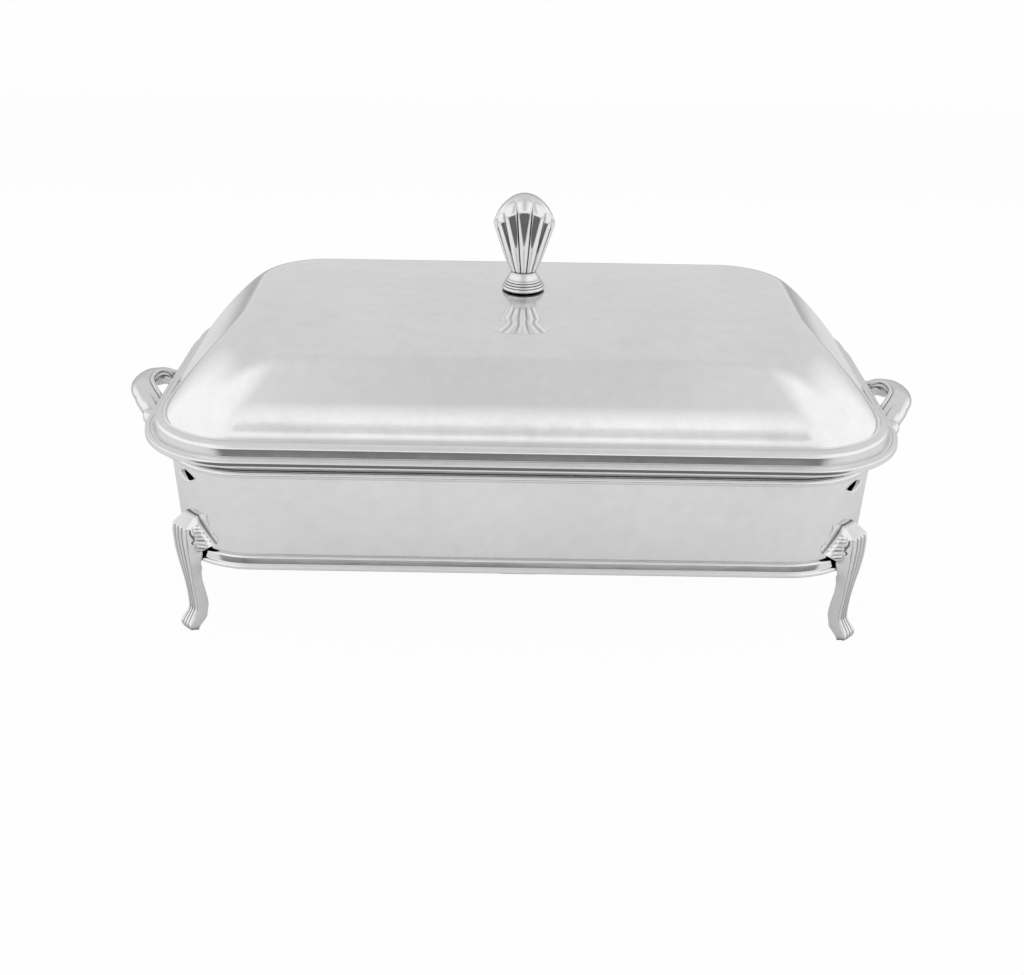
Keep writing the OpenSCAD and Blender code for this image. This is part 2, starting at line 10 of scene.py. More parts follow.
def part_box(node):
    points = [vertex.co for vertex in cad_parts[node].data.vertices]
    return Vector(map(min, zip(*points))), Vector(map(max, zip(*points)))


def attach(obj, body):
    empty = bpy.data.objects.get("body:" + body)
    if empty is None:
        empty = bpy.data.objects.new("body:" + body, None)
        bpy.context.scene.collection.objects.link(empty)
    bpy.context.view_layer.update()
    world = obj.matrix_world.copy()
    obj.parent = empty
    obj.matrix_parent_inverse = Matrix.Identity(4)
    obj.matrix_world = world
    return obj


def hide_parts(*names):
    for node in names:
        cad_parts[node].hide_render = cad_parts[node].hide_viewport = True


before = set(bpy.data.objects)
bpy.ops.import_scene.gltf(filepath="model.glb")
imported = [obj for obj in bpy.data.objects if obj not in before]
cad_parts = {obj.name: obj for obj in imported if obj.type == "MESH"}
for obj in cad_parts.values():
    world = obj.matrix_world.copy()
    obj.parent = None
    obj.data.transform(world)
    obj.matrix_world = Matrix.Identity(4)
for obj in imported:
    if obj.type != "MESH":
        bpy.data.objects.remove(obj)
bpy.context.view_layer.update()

MM = 0.001
CORNER_STEPS = 36
RUN_STEPS = 30
SHARP = math.radians(38)


# ---- Sizes read from the frame ----

def half_sizes(node):
    """Half length and half depth of a node that is centred on the dish."""
    lo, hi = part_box(node)
    return (hi.x - lo.x) / 2, (hi.y - lo.y) / 2


def corner_radius(node):
    """Plan radius of a node's outer corner, from where its end's straight run stops."""
    points = [v.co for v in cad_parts[node].data.vertices]
    edge = max(p.x for p in points)
    run = max(abs(p.y) for p in points if edge - p.x < 0.02 * MM)
    return half_sizes(node)[1] - run


body_lo, body_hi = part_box("body_shell")
bead_lo, bead_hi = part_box("top_bead")
moulding_lo, moulding_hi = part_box("base_moulding")
rim_lo, rim_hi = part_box("lid_rim")
dome_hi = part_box("lid_dome")[1]
collar_lo, collar_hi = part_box("knob_collar")
knob_lo, knob_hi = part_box("knob")

BX, BY = half_sizes("body_shell")
BODY_R = corner_radius("body_shell")
LX, LY = half_sizes("lid_rim")
LID_R = corner_radius("lid_rim")
FLOOR_Z, WALL_TOP = body_lo.z, body_hi.z
SHEET = 1.2 * MM
WALL_LEAN = 2.0 * MM
CORNERS = [(sx, sy) for sx in (-1, 1) for sy in (-1, 1)]


def corner_frame(sx, sy, z):
    """The middle of a body corner's curve at height z, and the direction in which the corner points."""
    return Vector((sx * (BX - BODY_R), sy * (BY - BODY_R), z)), math.atan2(sy, sx)


def side_names(sx, sy):
    return "left" if sx < 0 else "right", "front" if sy < 0 else "rear"


# ---- Mesh helpers ----

def plan(half_x, half_y, radius, z):
    """Points round a rounded rectangle, with the straight runs divided up."""
    points = []
    for quarter in range(4):
        sx = 1 if quarter in (0, 3) else -1
        sy = 1 if quarter < 2 else -1
        cx, cy = sx * (half_x - radius), sy * (half_y - radius)
        for i in range(CORNER_STEPS + 1):
            a = math.radians(90 * quarter + 90 * i / CORNER_STEPS)
            points.append(Vector((cx + radius * math.cos(a), cy + radius * math.sin(a), z)))
        nx = -sx if quarter in (0, 2) else sx
        ny = sy if quarter in (0, 2) else -sy
        a = math.radians(90 * quarter + 90)
        start = points[-1]
        end = Vector((nx * (half_x - radius) + radius * math.cos(a),
                      ny * (half_y - radius) + radius * math.sin(a), z))
        for i in range(1, RUN_STEPS):
            points.append(start.lerp(end, i / RUN_STEPS))
    return points


def rounded_path(corners, steps=5):
    """A closed path through (x, z, radius) corners, each turned into a small arc."""
    path = []
    n = len(corners)
    for i, (x, z, r) in enumerate(corners):
        here = Vector((x, z))
        back = Vector(corners[i - 1][:2]) - here
        ahead = Vector(corners[(i + 1) % n][:2]) - here
        if r <= 0:
            path.append(here)
            continue
        a = here + back.normalized() * min(r, back.length * 0.49)
        b = here + ahead.normalized() * min(r, ahead.length * 0.49)
        for k in range(steps + 1):
            t = k / steps
            path.append(a.lerp(here, t).lerp(here.lerp(b, t), t))
    return path


def add_rings(bm, rings, loop=False, cap_start=False, cap_end=False):
    """Skins rings of equal length; loop joins the last ring to the first."""
    made = [[bm.verts.new(p) for p in ring] for ring in rings]
    n = len(made[0])
    pairs = list(zip(made, made[1:])) + ([(made[-1], made[0])] if loop else [])
    for a, b in pairs:
        for j in range(n):
            k = (j + 1) % n
            bm.faces.new((a[j], a[k], b[k], b[j]))
    if cap_start:
        bm.faces.new(made[0])
    if cap_end:
        bm.faces.new(made[-1])
    return made


def sweep_plan(bm, half_x, half_y, radius, path):
    """Sweeps a closed path of (outward offset, height) round a rounded rectangle."""
    rings = [plan(half_x + p.x, half_y + p.x, radius + p.x, p.y) for p in path]
    return add_rings(bm, rings, loop=True)


def finish_mesh(bm, name, material, sharp=SHARP):
    bmesh.ops.remove_doubles(bm, verts=bm.verts, dist=1e-7)
    bmesh.ops.recalc_face_normals(bm, faces=bm.faces)
    mesh = bpy.data.meshes.new(name)
    bm.to_mesh(mesh)
    bm.free()
    for polygon in mesh.polygons:
        polygon.use_smooth = True
    mesh.set_sharp_from_angle(angle=sharp)
    mesh.materials.append(material)
    obj = bpy.data.objects.new(name, mesh)
    bpy.context.scene.collection.objects.link(obj)
    return obj


def place(obj, body, nodes):
    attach(obj, body)
    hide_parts(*nodes)
    return obj


def bezier(a, b, c, d, t):
    return (1 - t) ** 3 * a + 3 * (1 - t) ** 2 * t * b + 3 * (1 - t) * t * t * c + t ** 3 * d


def eased(pairs, at):
    """Smooth value through (place, value) pairs."""
    if at <= pairs[0][0]:
        return pairs[0][1]
    for (x0, v0), (x1, v1) in zip(pairs, pairs[1:]):
        if at <= x1:
            t = (at - x0) / (x1 - x0)
            return v0 + (v1 - v0) * t * t * (3 - 2 * t)
    return pairs[-1][1]


def tube(bm, centres, radii, sides=14):
    """A closed tube along centres."""
    rings = []
    n = len(centres)
    side = None
    for i, (c, r) in enumerate(zip(centres, radii)):
        ahead = centres[min(i + 1, n - 1)] - centres[max(i - 1, 0)]
        ahead.normalize()
        if side is None:
            side = ahead.cross(Vector((0, 0, 1))).normalized()
        side = (side - ahead * side.dot(ahead)).normalized()
        up = side.cross(ahead)
        rings.append([c + side * (r * math.cos(2 * math.pi * j / sides))
                      + up * (r * math.sin(2 * math.pi * j / sides)) for j in range(sides)])
    add_rings(bm, rings, cap_start=True, cap_end=True)


# ---- Materials ----

def node_material(name):
    material = bpy.data.materials.new(name)
    material.use_nodes = True
    nodes, links = material.node_tree.nodes, material.node_tree.links
    return material, nodes, links, nodes["Principled BSDF"]


def noise(nodes, links, coords, scale, detail=4, stretch=(1, 1, 1), roughness=0.55):
    mapping = nodes.new("ShaderNodeMapping")
    mapping.inputs["Scale"].default_value = stretch
    texture = nodes.new("ShaderNodeTexNoise")
    texture.inputs["Scale"].default_value = scale
    texture.inputs["Detail"].default_value = detail
    texture.inputs["Roughness"].default_value = roughness
    links.new(coords, mapping.inputs["Vector"])
    links.new(mapping.outputs["Vector"], texture.inputs["Vector"])
    return texture.outputs["Fac"]


def ramp(nodes, links, value, low, high, a, b):
    node = nodes.new("ShaderNodeMapRange")
    node.inputs["From Min"].default_value = low
    node.inputs["From Max"].default_value = high
    node.inputs["To Min"].default_value = a
    node.inputs["To Max"].default_value = b
    links.new(value, node.inputs["Value"])
    return node.outputs["Result"]


def mix_colour(nodes, links, value, a, b):
    """Mixes a and b, each a colour or the output of a node."""
    node = nodes.new("ShaderNodeMix")
    node.data_type = "RGBA"
    for name, colour in (("A", a), ("B", b)):
        if isinstance(colour, tuple):
            node.inputs[name].default_value = (*colour, 1)
        else:
            links.new(colour, node.inputs[name])
    links.new(value, node.inputs["Factor"])
    return node.outputs["Result"]


def math_node(nodes, links, kind, a, b=None):
    node = nodes.new("ShaderNodeMath")
    node.operation = kind
    for i, value in enumerate((a, b)):
        if value is None:
            continue
        if isinstance(value, (int, float)):
            node.inputs[i].default_value = value
        else:
            links.new(value, node.inputs[i])
    return node.outputs["Value"]


def bump(nodes, links, height, strength, distance, normal=None):
    node = nodes.new("ShaderNodeBump")
    node.inputs["Strength"].default_value = strength
    node.inputs["Distance"].default_value = distance
    links.new(height, node.inputs["Height"])
    if normal is not None:
        links.new(normal, node.inputs["Normal"])
    return node.outputs["Normal"]


SILVER = (0.93, 0.93, 0.935)
CAST_SILVER = (0.89, 0.89, 0.895)
# Near-black base colour painted in as shade, into creases and gaps and along outlines that turn away
PAINTED_SHADE_COLOUR = (0.05, 0.048, 0.045)


def silver_material(name, tone, painted_crease_shade, crease, shut, clear, rim, gloss, haze, ripple, grain):
    """Polished silver plate with patchy haze, fine wipe marks and shallow ripples.

    painted_crease_shade paints shade into creases narrower than crease, from openness clear down to shut.
    rim paints a dark outline where the surface turns away from the eye, standing in for a dark reflection.
    gloss is the least roughness and haze what the patches add to it.
    """
    material, nodes, links, shader = node_material(name)
    coords = nodes.new("ShaderNodeTexCoord").outputs["Object"]
    patches = noise(nodes, links, coords, 14, 5)
    cloud = noise(nodes, links, coords, 120, 6, roughness=0.7)
    wipes = noise(nodes, links, coords, 60, 3, (1, 14, 14))
    specks = noise(nodes, links, coords, 900, 2)
    swell = noise(nodes, links, coords, 26, 2)
    # Painted shade: ambient occlusion darkens the base colour in creases and narrow gaps, standing in for
    # shadow
    occlusion = nodes.new("ShaderNodeAmbientOcclusion")
    occlusion.inputs["Distance"].default_value = crease
    occlusion.samples = 4
    cavity = ramp(nodes, links, occlusion.outputs["AO"], shut, clear, 1, 0)
    mottle = math_node(nodes, links, "ADD", patches, cloud)
    tint = mix_colour(nodes, links, ramp(nodes, links, mottle, 0.75, 1.25, 0, 1), tone,
                      tuple(0.92 * c for c in tone))
    # Painted shade: a dark edge where the surface turns away from the eye, standing in for a dark reflection
    facing = nodes.new("ShaderNodeLayerWeight").outputs["Facing"]
    outline = ramp(nodes, links, facing, 0.6, 0.97, 0, rim)
    creased = math_node(nodes, links, "MULTIPLY", cavity, painted_crease_shade)
    shade = math_node(nodes, links, "MAXIMUM", creased, outline)
    links.new(mix_colour(nodes, links, shade, tint, PAINTED_SHADE_COLOUR), shader.inputs["Base Color"])
    shader.inputs["Metallic"].default_value = 1
    rough = math_node(nodes, links, "ADD",
                      ramp(nodes, links, patches, 0.3, 0.7, gloss, gloss + haze),
                      ramp(nodes, links, cloud, 0.45, 0.75, 0, haze * 0.6))
    links.new(rough, shader.inputs["Roughness"])
    normal = bump(nodes, links, swell, ripple, 0.6 * MM)
    normal = bump(nodes, links, wipes, grain, 0.05 * MM, normal)
    normal = bump(nodes, links, specks, grain * 0.6, 0.03 * MM, normal)
    links.new(normal, shader.inputs["Normal"])
    return material


def steel_material():
    """Satin stainless steel with a drawn grain and faint stains."""
    material, nodes, links, shader = node_material("satin_steel")
    coords = nodes.new("ShaderNodeTexCoord").outputs["Object"]
    grain = noise(nodes, links, coords, 240, 3, (0.04, 1, 1))
    stains = noise(nodes, links, coords, 22, 5)
    colour = mix_colour(nodes, links, ramp(nodes, links, stains, 0.3, 0.75, 0, 1),
                        (0.60, 0.61, 0.62), (0.49, 0.50, 0.52))
    links.new(colour, shader.inputs["Base Color"])
    shader.inputs["Metallic"].default_value = 1
    links.new(ramp(nodes, links, grain, 0.3, 0.7, 0.24, 0.4), shader.inputs["Roughness"])
    normal = bump(nodes, links, grain, 0.2, 0.05 * MM)
    links.new(bump(nodes, links, stains, 0.1, 0.3 * MM, normal), shader.inputs["Normal"])
    return material


def brass_material():
    """Lightly tarnished brass: brown bloom in patches, fine scratches."""
    material, nodes, links, shader = node_material("tarnished_brass")
    coords = nodes.new("ShaderNodeTexCoord").outputs["Object"]
    bloom = noise(nodes, links, coords, 45, 6)
    scratches = noise(nodes, links, coords, 160, 2, (1, 12, 1))
    colour = mix_colour(nodes, links, ramp(nodes, links, bloom, 0.4, 0.7, 0, 1),
                        (0.66, 0.47, 0.17), (0.36, 0.23, 0.08))
    links.new(colour, shader.inputs["Base Color"])
    shader.inputs["Metallic"].default_value = 1
    links.new(ramp(nodes, links, bloom, 0.35, 0.7, 0.22, 0.48), shader.inputs["Roughness"])
    normal = bump(nodes, links, scratches, 0.15, 0.05 * MM)
    links.new(bump(nodes, links, bloom, 0.15, 0.2 * MM, normal), shader.inputs["Normal"])
    return material


def fibre_material():
    """Matted wick fibre: criss-cross threads, scorched in patches."""
    material, nodes, links, shader = node_material("wick_fibre")
    coords = nodes.new("ShaderNodeTexCoord").outputs["Object"]
    threads = noise(nodes, links, coords, 420, 4, (1, 0.25, 1))
    cross = noise(nodes, links, coords, 380, 4, (0.25, 1, 1))
    scorch = noise(nodes, links, coords, 60, 5)
    matted = math_node(nodes, links, "MAXIMUM", threads, cross)
    colour = mix_colour(nodes, links, ramp(nodes, links, scorch, 0.45, 0.75, 0, 1),
                        (0.74, 0.69, 0.58), (0.25, 0.19, 0.13))
    links.new(colour, shader.inputs["Base Color"])
    shader.inputs["Roughness"].default_value = 0.95
    links.new(bump(nodes, links, matted, 0.9, 0.5 * MM), shader.inputs["Normal"])
    return material


# Each silver below sets its own strength of painted shade in creases and along outlines
sheet_silver = silver_material(
    "silver_sheet", SILVER, painted_crease_shade=0.12, crease=1.8 * MM, shut=0.25, clear=0.85, rim=0.0,
    gloss=0.07, haze=0.07, ripple=0.10, grain=0.10)
body_silver = silver_material(
    "silver_body", SILVER, painted_crease_shade=0.12, crease=1.8 * MM, shut=0.25, clear=0.85, rim=0.0,
    gloss=0.07, haze=0.07, ripple=0.22, grain=0.12)
cast_silver = silver_material(
    "silver_cast", CAST_SILVER, painted_crease_shade=0.95, crease=3 * MM, shut=0.5, clear=0.9, rim=0.75,
    gloss=0.05, haze=0.05, ripple=0.05, grain=0.05)
trim_silver = silver_material(
    "silver_trim", SILVER, painted_crease_shade=0.75, crease=1.8 * MM, shut=0.3, clear=0.92, rim=0.35,
    gloss=0.05, haze=0.05, ripple=0.05, grain=0.05)
steel = steel_material()
brass = brass_material()
fibre = fibre_material()


# ---- Lid ----

DOME_FOOT_X, DOME_FOOT_Y = half_sizes("lid_dome")
DOME_FOOT_R = corner_radius("lid_dome")
END_SLOPE = 42.8 * MM
SIDE_SLOPE = 49.6 * MM
SHOULDER_R = 30.6 * MM
CROWN_RISE = 2.4 * MM
DOME_FOOT_Z = rim_hi.z
DOME_RISE = dome_hi.z - CROWN_RISE - DOME_FOOT_Z


def slope_ring(t, inner):
    """Section of the dome's side, from its foot at t = 0 to its shoulder at t = 1."""
    return plan(
        DOME_FOOT_X - inner - END_SLOPE * bezier(0, 0.04, 0.88, 1, t),
        DOME_FOOT_Y - inner - SIDE_SLOPE * bezier(0, 0.06, 0, 1, t),
        DOME_FOOT_R - inner + (SHOULDER_R - DOME_FOOT_R) * t ** 1.1,
        DOME_FOOT_Z - (inner if t else 0) + DOME_RISE * bezier(0, 0.14, 1, 1, t))


def crown_ring(s, inner):
    """Section of the dome's shallow top, from its shoulder at s = 1 in towards the knob."""
    return plan(
        (DOME_FOOT_X - inner - END_SLOPE) * s, (DOME_FOOT_Y - inner - SIDE_SLOPE) * s,
        (SHOULDER_R - inner) * s, DOME_FOOT_Z + DOME_RISE - inner + CROWN_RISE * (1 - s * s))


def make_dome():
    slope_steps, crown_steps, middle = 44, 16, 0.03
    slope = [i / slope_steps for i in range(slope_steps + 1)]
    crown = [1 - (1 - middle) * (i + 1) / crown_steps for i in range(crown_steps)]
    bm = bmesh.new()
    outer = [slope_ring(t, 0) for t in slope] + [crown_ring(s, 0) for s in crown]
    inner = [slope_ring(t, SHEET) for t in slope] + [crown_ring(s, SHEET) for s in crown]
    add_rings(bm, outer[::-1] + inner, cap_start=True, cap_end=True)
    place(finish_mesh(bm, "lid_dome_skin", sheet_silver), "lid", ["lid_dome"])


def make_rim():
    z = rim_lo.z
    rise = rim_hi.z - z
    width = LX - DOME_FOOT_X
    t = 1.3 * MM
    outside = [
        (-1.2 * MM, z, 0.3 * MM), (-0.15 * MM, z, 0.5 * MM), (-0.05 * MM, z + 0.9 * MM, 0.4 * MM),
        (-0.3 * MM, z + 3.2 * MM, 0.7 * MM), (-2.6 * MM, z + 3.6 * MM, 0.3 * MM),
        (-2.75 * MM, z + 3.3 * MM, 0.1 * MM), (-3.0 * MM, z + 3.65 * MM, 0.3 * MM),
        (-4.7 * MM, z + 3.75 * MM, 0.25 * MM), (-5.3 * MM, z + 8.9 * MM, 1.4 * MM),
        (-7.6 * MM, z + 10.1 * MM, 0.8 * MM), (-width + 0.5 * MM, z + rise - 0.5 * MM, 0.3 * MM),
        (-width + 0.1 * MM, z + rise, 0.2 * MM),
    ]
    inside = [
        (-width - t, z + rise, 0), (-width - t, z + rise - t, 0.3 * MM),
        (-7.6 * MM, z + 8.7 * MM, 0.6 * MM), (-6.6 * MM, z + 7.9 * MM, 0.6 * MM),
        (-6.0 * MM, z + 3.2 * MM, 0.5 * MM), (-4.6 * MM, z + 2.4 * MM, 0.4 * MM),
        (-1.4 * MM, z + 2.2 * MM, 0.4 * MM),
    ]
    bm = bmesh.new()
    sweep_plan(bm, LX, LY, LID_R, rounded_path(outside + inside))
    place(finish_mesh(bm, "lid_rim_skin", trim_silver), "lid", ["lid_rim"])


# ---- Body ----

VENT_LENGTH, VENT_HEIGHT = 14 * MM, 6 * MM
VENT_Z = WALL_TOP - 5.5 * MM


def lens_outline():
    """Eye-shaped outline of a vent, from one tip round to the other and back."""
    steps = 14
    outline = []
    for i in range(steps + 1):
        y = -VENT_LENGTH / 2 + VENT_LENGTH * i / steps
        outline.append((y, VENT_HEIGHT / 2 * (1 - (2 * y / VENT_LENGTH) ** 2)))
    for i in range(steps - 1, 0, -1):
        y = -VENT_LENGTH / 2 + VENT_LENGTH * i / steps
        outline.append((y, -VENT_HEIGHT / 2 * (1 - (2 * y / VENT_LENGTH) ** 2)))
    return outline


def lens_cutter(depth):
    """Eye-shaped prism along +X."""
    bm = bmesh.new()
    add_rings(bm, [[Vector((x, y, z)) for y, z in lens_outline()] for x in (0, depth)],
              cap_start=True, cap_end=True)
    bmesh.ops.recalc_face_normals(bm, faces=bm.faces)
    mesh = bpy.data.meshes.new("cutter")
    bm.to_mesh(mesh)
    bm.free()
    return bpy.data.objects.new("cutter", mesh)


def cylinder_cutter(radius, depth):
    bm = bmesh.new()
    bmesh.ops.create_cone(bm, cap_ends=True, segments=96, radius1=radius, radius2=radius, depth=depth)
    mesh = bpy.data.meshes.new("cutter")
    bm.to_mesh(mesh)
    bm.free()
    return bpy.data.objects.new("cutter", mesh)


def cut(obj, cutters):
    """Cuts the cutters out of obj and deletes them."""
    scene = bpy.context.scene
    for cutter in cutters:
        scene.collection.objects.link(cutter)
        modifier = obj.modifiers.new("cut", "BOOLEAN")
        modifier.operation = "DIFFERENCE"
        modifier.solver = "EXACT"
        modifier.object = cutter
    bpy.context.view_layer.update()
    graph = bpy.context.evaluated_depsgraph_get()
    mesh = bpy.data.meshes.new_from_object(obj.evaluated_get(graph))
    obj.modifiers.clear()
    obj.data = mesh
    for cutter in cutters:
        bpy.data.objects.remove(cutter)
    for polygon in mesh.polygons:
        polygon.use_smooth = True
    mesh.set_sharp_from_angle(angle=SHARP)


# Section of a vent's rolled edge: scale of the outline, and millimetres out from the wall
VENT_LIP = [(1.10, -0.3), (1.12, 0.1), (1.04, 0.45), (0.93, 0.2),
            (0.84, -1.0), (0.80, -2.2), (0.86, -2.2), (0.98, -0.9)]


def make_vent_lips():
    """Rolled edge round each vent, with a sloping return inside it."""
    outline = lens_outline()
    for sx, sy in CORNERS:
        centre, angle = corner_frame(sx, sy, VENT_Z)
        rings = []
        for shrink, out in VENT_LIP:
            ring = []
            for y, z in outline:
                y, z = y * (1 + (shrink - 1) * 0.5), z * shrink
                r = BODY_R - WALL_LEAN * (WALL_TOP - VENT_Z - z) / (WALL_TOP - FLOOR_Z) + out * MM
                turn = angle + y / BODY_R
                ring.append(centre + Vector((r * math.cos(turn), r * math.sin(turn), z)))
            rings.append(ring)
        bm = bmesh.new()
        add_rings(bm, rings, loop=True)
        name = "_".join(("vent_lip", *side_names(sx, sy)))
        place(finish_mesh(bm, name, body_silver), "stand", ["body_shell"])


CUTTER_REACH, CUTTER_START = 14 * MM, 8 * MM
WINDOW_MARGIN = 7 * MM


def make_wall():
    """The body's wall with a vent through each corner."""
    path = rounded_path([
        (-WALL_LEAN - SHEET, FLOOR_Z, 0), (-WALL_LEAN, FLOOR_Z, 0.5 * MM),
        (0, WALL_TOP, 0.2 * MM), (-SHEET, WALL_TOP, 0.2 * MM),
        (-WALL_LEAN - SHEET, FLOOR_Z + SHEET, 0.8 * MM),
    ])
    bm = bmesh.new()
    sweep_plan(bm, BX, BY, BODY_R, path)
    wall = finish_mesh(bm, "body_wall", body_silver)
    vents = []
    start = BODY_R - CUTTER_START
    for sx, sy in CORNERS:
        cutter = lens_cutter(CUTTER_REACH)
        angle = math.atan2(sy, sx)
        cutter.matrix_world = Matrix.Translation((
            sx * (BX - BODY_R) + start * math.cos(angle),
            sy * (BY - BODY_R) + start * math.sin(angle), VENT_Z)) @ Matrix.Rotation(angle, 4, "Z")
        vents.append(cutter)
    cut(wall, vents)
    place(wall, "stand", ["body_shell"])


def make_body_floor():
    """The body's floor with a window over each burner."""
    left_lo, left_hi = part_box("left_burner_cup")
    right_lo, right_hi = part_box("right_burner_cup")
    window = (left_hi.x - left_lo.x) / 2 + WINDOW_MARGIN
    pitch = (right_hi.x + right_lo.x) / 2
    inset = WALL_LEAN + SHEET * 0.9
    levels = (FLOOR_Z + 0.02 * MM, FLOOR_Z + SHEET)
    rings = [plan(BX - inset, BY - inset, BODY_R - inset, z) for z in levels]
    bm = bmesh.new()
    add_rings(bm, rings, cap_start=True, cap_end=True)
    floor = finish_mesh(bm, "body_floor", body_silver)
    cutters = []
    for side in (-1, 1):
        cutter = cylinder_cutter(window, 10 * MM)
        cutter.matrix_world = Matrix.Translation((side * pitch, 0, FLOOR_Z))
        cutters.append(cutter)
    cut(floor, cutters)
    place(floor, "stand", ["body_shell"])


def make_bead():
    z0, z1 = bead_lo.z, bead_hi.z
    reach = half_sizes("top_bead")[0] - BX
    r = (z1 - z0) / 2
    path = [Vector((reach - r + r * math.cos(math.radians(a)), z0 + r + r * math.sin(math.radians(a))))
            for a in range(-90, 91, 12)]
    path += rounded_path([(-0.6 * MM, z1, 0.4 * MM), (-SHEET, z1 - 0.6 * MM, 0.3 * MM), (-SHEET, z0, 0)])
    bm = bmesh.new()
    sweep_plan(bm, BX, BY, BODY_R, path)
    place(finish_mesh(bm, "top_bead_skin", trim_silver), "stand", ["top_bead"])


def make_moulding():
    z0, z1 = moulding_lo.z, moulding_hi.z
    lip = half_sizes("base_moulding")[0] - BX
    path = rounded_path([
        (-WALL_LEAN - SHEET, z0 + 0.1 * MM, 0), (lip - 0.9 * MM, z0, 0.4 * MM),
        (lip - 0.05 * MM, z0 + 0.5 * MM, 0.6 * MM),
        (lip, z0 + 2.0 * MM, 0.9 * MM), (lip - 1.3 * MM, z0 + 2.9 * MM, 0.25 * MM),
        (lip - 2.04 * MM, z0 + 6.6 * MM, 0.6 * MM), (-WALL_LEAN + 0.15 * MM, z1 + 0.35 * MM, 0.2 * MM),
        (-WALL_LEAN - 0.1 * MM, z1 + 0.35 * MM, 0), (-WALL_LEAN - SHEET, z1, 0),
    ])
    bm = bmesh.new()
    sweep_plan(bm, BX, BY, BODY_R, path)
    place(finish_mesh(bm, "base_moulding_skin", trim_silver), "stand", ["base_moulding"])


# ---- Feet ----

CREST_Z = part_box("front_left_foot")[1].z
CAP_Z, BLUNT_Z = CREST_Z - 5 * MM, CREST_Z - 2.5 * MM
KNEE_Z, NOTCH_Z = FLOOR_Z + 3.5 * MM, FLOOR_Z - 1 * MM
LEG_Z = moulding_lo.z
CORNER_LIP = corner_radius("base_moulding")
KNEE_HALF, NOTCH_HALF, BLUNT_HALF, CREST_HALF = 15 * MM, 9.5 * MM, 6 * MM, 4.8 * MM

BAND_STEPS, SIDE_STEPS, BACK_STEPS = 48, 16, 24
FLUTES_ON_FOOT = 4
RIB_PITCH, RIB_HEIGHT = 2.4 * MM, 1.3 * MM
BORDER_SHARE = 0.62


def between(low, high, start, end, z):
    """Straight change from start at low to end at high."""
    return start + (end - start) * (z - low) / (high - low)


def foot_front(z):
    """Distance of the fluted face from the middle of the corner's curve."""
    if z > CAP_Z:
        return CORNER_LIP + between(CAP_Z, CREST_Z, 6.4, -1.2, z) * MM
    return CORNER_LIP + MM * eased([
        (0, 5.4), (0.6 * MM, 6.9), (2.8 * MM, 7.8), (12 * MM, 2.6), (CREST_Z - 9 * MM, 6.7), (CAP_Z, 6.4)], z)


def foot_back(z):
    """Distance of the inner face, clear of the moulding and close to the wall."""
    if z > FLOOR_Z + 3 * MM:
        return BODY_R - WALL_LEAN * (WALL_TOP - z) / (WALL_TOP - FLOOR_Z) + 0.1 * MM
    return CORNER_LIP + MM * eased([
        (0, 3.2), (7 * MM, -2.6), (13 * MM, -3.8), (31 * MM, -1.5), (35 * MM, -1.5), (39.5 * MM, 0.15)], z)


def foot_edge(z):
    """Distance of the edge of the knee's wings, which stands clear of the wall."""
    if z > FLOOR_Z + 3 * MM:
        wing = [(FLOOR_Z + 3 * MM, 0.6), (FLOOR_Z + 6 * MM, -0.6), (CREST_Z, -1.6)]
        return CORNER_LIP + MM * eased(wing, z)
    return foot_back(z) + MM * eased([(31 * MM, 0.3), (LEG_Z, 0.45)], z)


def foot_band(z):
    """Half width of the fluted face."""
    return MM * eased([(0, 3.4), (0.6 * MM, 4.1), (2.8 * MM, 4.6), (10 * MM, 3.7), (22 * MM, 3.6),
                       (FLOOR_Z, 6), (CAP_Z, 6), (CREST_Z, 4.6)], z)


def foot_half(z):
    """Half width where the foot meets the body."""
    if z <= NOTCH_Z:
        return max(foot_band(z) + 0.4 * MM, eased([(31 * MM, 5 * MM), (NOTCH_Z, NOTCH_HALF)], z))
    if z <= KNEE_Z:
        return between(NOTCH_Z, KNEE_Z, NOTCH_HALF, KNEE_HALF, z)
    if z <= BLUNT_Z:
        return between(KNEE_Z, BLUNT_Z, KNEE_HALF, BLUNT_HALF, z)
    return between(BLUNT_Z, CREST_Z, BLUNT_HALF, CREST_HALF, z)


def foot_ring(z, along):
    """Level section: a side with its ribbed border, the fluted face, the other side, the inner face."""
    half, band, front, back = foot_half(z), foot_band(z), foot_front(z), foot_back(z)
    flute = MM * eased([(0, 0.2), (3 * MM, 0.7), (12 * MM, 0.9), (30 * MM, 1.2),
                        (CAP_Z, 1.4), (CAP_Z + 0.6 * MM, 0)], z)
    border = eased([(NOTCH_Z, 0), (KNEE_Z - 1 * MM, 1), (CAP_Z, 1), (CREST_Z - 3.5 * MM, 0)], z)
    rib = abs(math.sin(math.pi * along / RIB_PITCH)) ** 0.6
    edge = math.sqrt(foot_edge(z) ** 2 - half * half)
    shoulder = math.sqrt(front * front - band * band) - 0.4 * MM
    sides = []
    for i in range(SIDE_STEPS):
        t = i / SIDE_STEPS
        r = edge + (shoulder - edge) * (t - 0.12 * math.sin(math.pi * t) * border)
        if t < BORDER_SHARE:
            r += border * rib * RIB_HEIGHT * min(1, t / 0.06) * min(1, (BORDER_SHARE - t) / 0.08)
        sides.append((r, half + (band - half) * t))
    ring = [Vector((r, -y, z)) for r, y in sides]
    for i in range(BAND_STEPS + 1):
        s = -1 + 2 * i / BAND_STEPS
        y = band * s
        groove = 1 - abs(math.sin(math.pi / 2 * FLUTES_ON_FOOT * (s + 1))) ** 0.6
        ring.append(Vector((math.sqrt(front * front - y * y) - flute * groove, y, z)))
    ring += [Vector((r, y, z)) for r, y in sides[::-1]]
    for i in range(BACK_STEPS, -1, -1):
        y = half * (-1 + 2 * i / BACK_STEPS)
        ring.append(Vector((math.sqrt(back * back - y * y), y, z)))
    return ring


